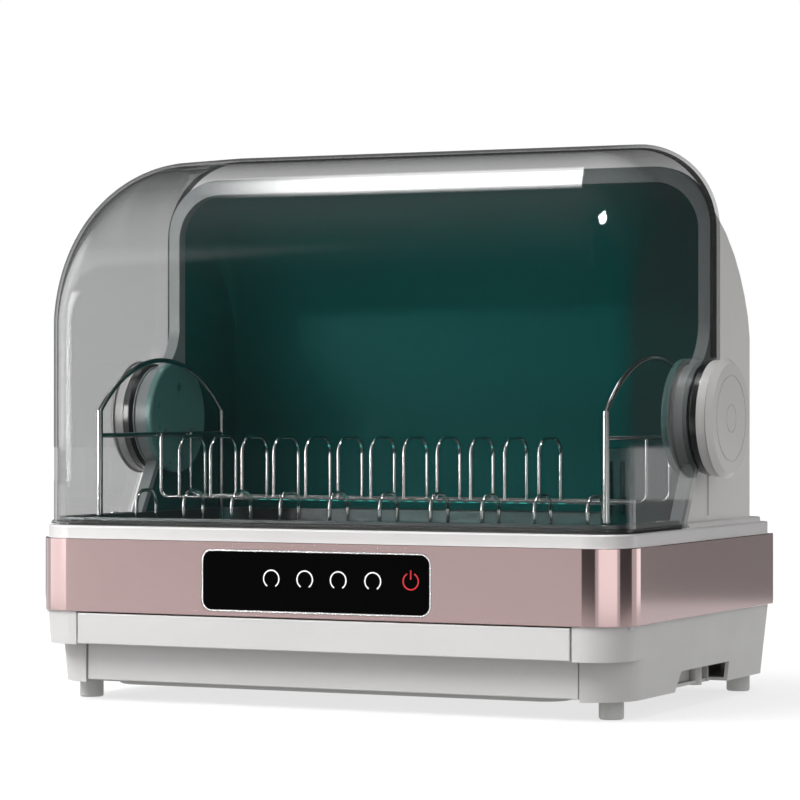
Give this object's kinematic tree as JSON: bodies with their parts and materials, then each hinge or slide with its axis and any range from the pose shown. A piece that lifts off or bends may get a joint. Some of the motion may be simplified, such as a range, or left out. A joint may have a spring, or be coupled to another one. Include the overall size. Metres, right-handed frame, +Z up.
{
  "type": "dish sterilizer cabinet",
  "caption": "Countertop dish sterilizer with a clear swing-up lid on side hubs, a fixed rear hood, a wire rack with a cutlery holder, and a drip drawer in the base.",
  "frame": {"origin": "bottom centre of the bounding box, on the surface the four feet stand on", "axes": "+X to the right seen from the front, +Y to the back, +Z up; the drawer opens towards -Y"},
  "size_m": [0.5274, 0.331, 0.4366],
  "materials": {
    "base_plastic": "fine matte",
    "foot_rubber": "matte",
    "screw_steel": "satin",
    "plate_steel": "satin",
    "rim_plastic": "satin gloss",
    "band_metal": "satin metallic",
    "grey_plastic": "fine matte",
    "black_plastic": "fine matte",
    "panel_black": "high gloss",
    "circuit_board": "solder mask",
    "basin_steel": "satin",
    "black_rubber": "matte",
    "shell_plastic": "satin",
    "liner_dark": "satin dark",
    "frame_grey": "satin",
    "hub_teal": "satin dark",
    "lamp_glass": "clear",
    "cap_aluminium": "satin",
    "white_plastic": "fine matte",
    "lid_clear": "clear, lightly smoked",
    "ring_black": "gloss",
    "cap_grey": "satin",
    "drawer_plastic": "satin",
    "tray_plastic": "fine matte",
    "rack_wire": "polished",
    "holder_smoke": "smoked, translucent"
  },
  "bodies": {
    "cabinet": {"base_housing": "base_plastic", "feet": "foot_rubber", "housing_screws": "screw_steel", "partition_plate": "plate_steel", "rim_deck": "rim_plastic", "trim_band": "band_metal", "rear_panel": "grey_plastic", "cord_inlet": "black_plastic", "control_glass": "panel_black", "control_board": "circuit_board", "touch_springs": "screw_steel", "power_board": "circuit_board", "basin": "basin_steel", "seat_gasket": "black_rubber", "seat_screws": "screw_steel", "back_shell": "shell_plastic", "rear_vent_cover": "grey_plastic", "inner_liner": "liner_dark", "front_frame": "frame_grey", "pivot_boss_left": "frame_grey", "pivot_boss_right": "frame_grey", "inner_hub_cover_left": "hub_teal", "inner_hub_cover_right": "hub_teal", "hinge_pin_left": "screw_steel", "hinge_pin_right": "screw_steel", "hub_screws": "screw_steel", "lid_sensor": "black_plastic", "uv_lamp": "lamp_glass", "uv_lamp_caps": "cap_aluminium", "lamp_holders": "white_plastic", "lamp_guard": "basin_steel", "heater_duct": "plate_steel", "heater": "cap_aluminium", "air_grille": "black_plastic", "blower_housing": "black_plastic", "fan_motor": "screw_steel", "drawer_rail_left": "plate_steel", "drawer_rail_right": "plate_steel"},
    "lid": {"lid_shell": "lid_clear", "lid_edge_seal": "black_rubber", "hinge_washer_left": "frame_grey", "hinge_washer_right": "frame_grey", "hinge_ring_left": "ring_black", "hinge_ring_right": "ring_black", "hub_cap_left": "cap_grey", "hub_cap_right": "cap_grey"},
    "drawer": {"drawer_front": "drawer_plastic", "drip_tray": "tray_plastic"},
    "rack": {"rack_side_left": "rack_wire", "rack_side_right": "rack_wire", "rack_long_wires": "rack_wire", "rack_hangers": "rack_wire", "rack_dividers_front": "rack_wire", "rack_dividers_rear": "rack_wire", "rack_feet": "foot_rubber"},
    "holder": {"cutlery_holder": "holder_smoke"},
    "rotor": {"fan_rotor": "black_plastic"}
  },
  "joints": [
    {"name": "lid_hinge", "type": "hinge", "parent": "cabinet", "child": "lid", "pos_m": [0, 0.025, 0.2208], "axis": [-1, 0, 0], "range_deg": [0, 64]},
    {"name": "drawer_slide", "type": "slide", "parent": "cabinet", "child": "drawer", "axis": [0, -1, 0], "range_m": [0, 0.2]},
    {"name": "rack_lift", "type": "slide", "parent": "cabinet", "child": "rack", "axis": [0, 0, 1], "range_m": [0, 0.05]},
    {"name": "holder_lift", "type": "slide", "parent": "rack", "child": "holder", "axis": [0, 0, 1], "range_m": [0, 0.08]},
    {"name": "rotor_spin", "type": "hinge", "parent": "cabinet", "child": "rotor", "pos_m": [0, 0.0965, 0.086], "axis": [0, 0, 1], "continuous": true}
  ]
}
